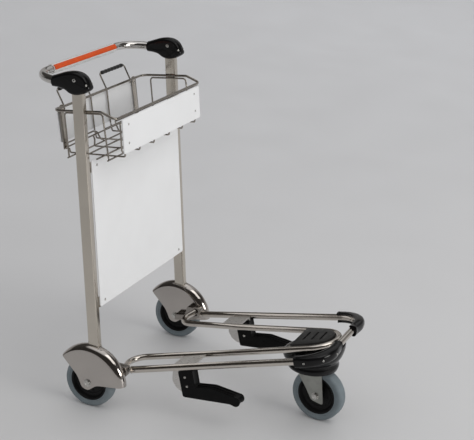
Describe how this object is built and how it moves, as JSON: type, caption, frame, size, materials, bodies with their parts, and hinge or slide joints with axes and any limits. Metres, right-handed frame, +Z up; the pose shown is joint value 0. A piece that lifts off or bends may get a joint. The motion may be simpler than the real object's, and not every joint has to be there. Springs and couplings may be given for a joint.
{
  "type": "airport luggage trolley",
  "caption": "Nesting luggage trolley with a wire basket, a push handle, a sloped tube platform, fixed rear wheels under steel fenders and a swivelling front caster.",
  "frame": {"origin": "centre of the bounding box's bottom face, on the floor", "axes": "+Z up, +Y towards the push handle, -Y towards the caster end, +X to the trolley's left"},
  "size_m": [0.6298, 0.9521, 1.02],
  "materials": {
    "polished_stainless": "polished",
    "zinc_plate": "satin",
    "black_plastic": "glossy",
    "white_panel": "matte",
    "grey_rubber": "matte",
    "black_grip": "matte",
    "orange_grip": "satin",
    "pad_plastic": "matte"
  },
  "bodies": {
    "frame": {"basket_brace": "polished_stainless", "basket_flat_bar_left": "polished_stainless", "basket_flat_bar_right": "polished_stainless", "basket_floor_grid": "polished_stainless", "basket_front_frame": "polished_stainless", "basket_front_panel": "white_panel", "basket_rear_panel": "white_panel", "basket_rim": "polished_stainless", "basket_side_frame_left": "polished_stainless", "basket_side_frame_right": "polished_stainless", "carry_loop_grip_left": "black_grip", "carry_loop_grip_right": "black_grip", "carry_loop_left": "polished_stainless", "carry_loop_right": "polished_stainless", "caster_housing": "black_plastic", "caster_kingpin": "zinc_plate", "caster_mount": "polished_stainless", "corner_bumper_left": "black_plastic", "corner_bumper_right": "black_plastic", "display_panel": "white_panel", "fender_left": "polished_stainless", "fender_right": "polished_stainless", "handle_bracket_left": "black_plastic", "handle_bracket_right": "black_plastic", "handle_grip_strip": "orange_grip", "handle_sleeve": "pad_plastic", "handle_tube": "polished_stainless", "hook_plate_left": "polished_stainless", "hook_plate_right": "polished_stainless", "inner_platform_tube": "polished_stainless", "nesting_hook_left": "black_plastic", "nesting_hook_right": "black_plastic", "outer_platform_tube": "polished_stainless", "panel_crossbar_lower": "polished_stainless", "panel_crossbar_upper": "polished_stainless", "rail_bracket_left": "polished_stainless", "rail_bracket_right": "polished_stainless", "rear_axle_bolt_left": "zinc_plate", "rear_axle_bolt_right": "zinc_plate", "rear_axle_nut_left": "zinc_plate", "rear_axle_nut_right": "zinc_plate", "toe_pad": "pad_plastic", "upright_left": "polished_stainless", "upright_right": "polished_stainless"},
    "rear_wheel_left": {"rear_tyre_left": "grey_rubber", "rear_hub_left": "black_plastic", "rear_inner_bearing_left": "zinc_plate", "rear_outer_bearing_left": "zinc_plate"},
    "rear_wheel_right": {"rear_tyre_right": "grey_rubber", "rear_hub_right": "black_plastic", "rear_inner_bearing_right": "zinc_plate", "rear_outer_bearing_right": "zinc_plate"},
    "caster_swivel": {"caster_fork": "zinc_plate", "caster_axle_bolt": "zinc_plate", "caster_axle_nut": "zinc_plate", "caster_swivel_bearing": "zinc_plate"},
    "caster_wheel": {"caster_tyre": "grey_rubber", "caster_hub": "black_plastic", "caster_inner_bearing": "zinc_plate", "caster_outer_bearing": "zinc_plate"}
  },
  "joints": [
    {"name": "rear_left_roll", "type": "hinge", "parent": "frame", "child": "rear_wheel_left", "pos_m": [0.286, 0.2344, 0.08], "axis": [1, 0, 0], "continuous": true},
    {"name": "rear_right_roll", "type": "hinge", "parent": "frame", "child": "rear_wheel_right", "pos_m": [-0.286, 0.2344, 0.08], "axis": [1, 0, 0], "continuous": true},
    {"name": "caster_swivel_turn", "type": "hinge", "parent": "frame", "child": "caster_swivel", "pos_m": [0, -0.364, 0.172], "axis": [0, 0, 1], "continuous": true},
    {"name": "caster_roll", "type": "hinge", "parent": "caster_swivel", "child": "caster_wheel", "pos_m": [-0.00298, -0.39285, 0.0825], "axis": [0.9947, -0.1028, 0], "continuous": true}
  ]
}
